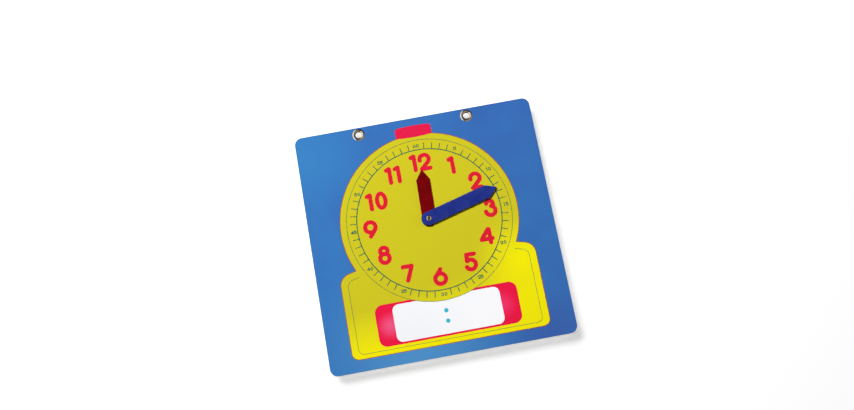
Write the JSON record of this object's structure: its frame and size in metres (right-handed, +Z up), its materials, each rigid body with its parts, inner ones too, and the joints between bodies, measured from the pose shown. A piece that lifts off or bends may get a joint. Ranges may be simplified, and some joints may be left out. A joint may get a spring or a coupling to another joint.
{
  "type": "teaching clock",
  "caption": "Square dry-erase teaching board with a printed clock dial, hour and minute hands that turn on a hollow rivet, a writing panel and hanging eyelets.",
  "frame": {"origin": "midpoint between the two hanging eyelets, on the board's back face", "axes": "+Z up with twelve at the top, +X to the reader's right, -Y towards the reader, so the layers build from Y = 0 towards -Y"},
  "size_m": [0.3048, 0.008, 0.3048],
  "materials": {
    "clear_film": "gloss",
    "plain_paper": "matte",
    "chipboard": "matte",
    "blue_ink": "gloss",
    "yellow_ink": "gloss",
    "red_ink": "gloss",
    "white_ink": "gloss",
    "green_ink": "gloss",
    "cyan_ink": "gloss",
    "nickel": "polished",
    "rivet_brass": "polished",
    "clear_washer": "satin",
    "red_plastic": "satin",
    "blue_plastic": "satin"
  },
  "bodies": {
    "board": {"back_film": "clear_film", "writing_film": "clear_film", "backing_sheet": "plain_paper", "printed_sheet": "plain_paper", "board_core": "chipboard", "blue_field_print": "blue_ink", "yellow_clock_print": "yellow_ink", "edge_line_print": "red_ink", "tab_print": "red_ink", "writing_frame_print": "red_ink", "writing_panel_print": "white_ink", "dial_lines_print": "green_ink", "colon_dots_print": "cyan_ink", "left_eyelet": "nickel", "right_eyelet": "nickel", "left_eyelet_washer": "nickel", "right_eyelet_washer": "nickel", "hand_rivet": "rivet_brass", "rivet_washer": "rivet_brass", "board_washer": "clear_washer", "hand_spacer": "clear_washer"},
    "hour_hand": {"hour_hand": "red_plastic"},
    "minute_hand": {"minute_hand": "blue_plastic"}
  },
  "joints": [
    {"name": "hour_hand_turn", "type": "hinge", "parent": "board", "child": "hour_hand", "pos_m": [-0.0007, -0.0037, -0.12425], "axis": [0, 1, 0], "continuous": true},
    {"name": "minute_hand_turn", "type": "hinge", "parent": "board", "child": "minute_hand", "pos_m": [-0.0007, -0.0054, -0.12425], "axis": [0, 1, 0], "continuous": true}
  ]
}
